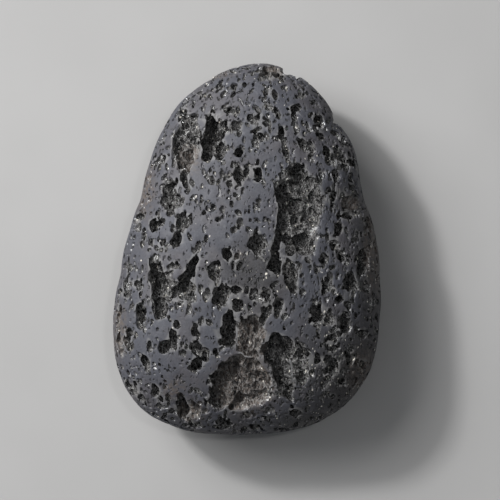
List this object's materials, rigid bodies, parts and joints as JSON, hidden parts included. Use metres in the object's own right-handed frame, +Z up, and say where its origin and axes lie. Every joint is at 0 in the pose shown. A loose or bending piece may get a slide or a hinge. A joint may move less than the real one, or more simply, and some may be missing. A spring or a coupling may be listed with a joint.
{
  "type": "lava rock",
  "caption": "Flat, egg-shaped tumbled pebble of dark vesicular basalt, its worn skin broken by gas bubbles and deep rough hollows.",
  "frame": {"origin": "on the ground below the middle of the pebble's plan", "axes": "+Y along the long axis towards the narrow end, +Z up from the flat worn patch it rests on, +X towards the side with the largest hollow"},
  "size_m": [0.0431, 0.06, 0.022],
  "materials": {
    "basalt": "worn satin skin with rough hollows"
  },
  "bodies": {
    "root": {"lava_rock": "basalt"}
  },
  "joints": []
}
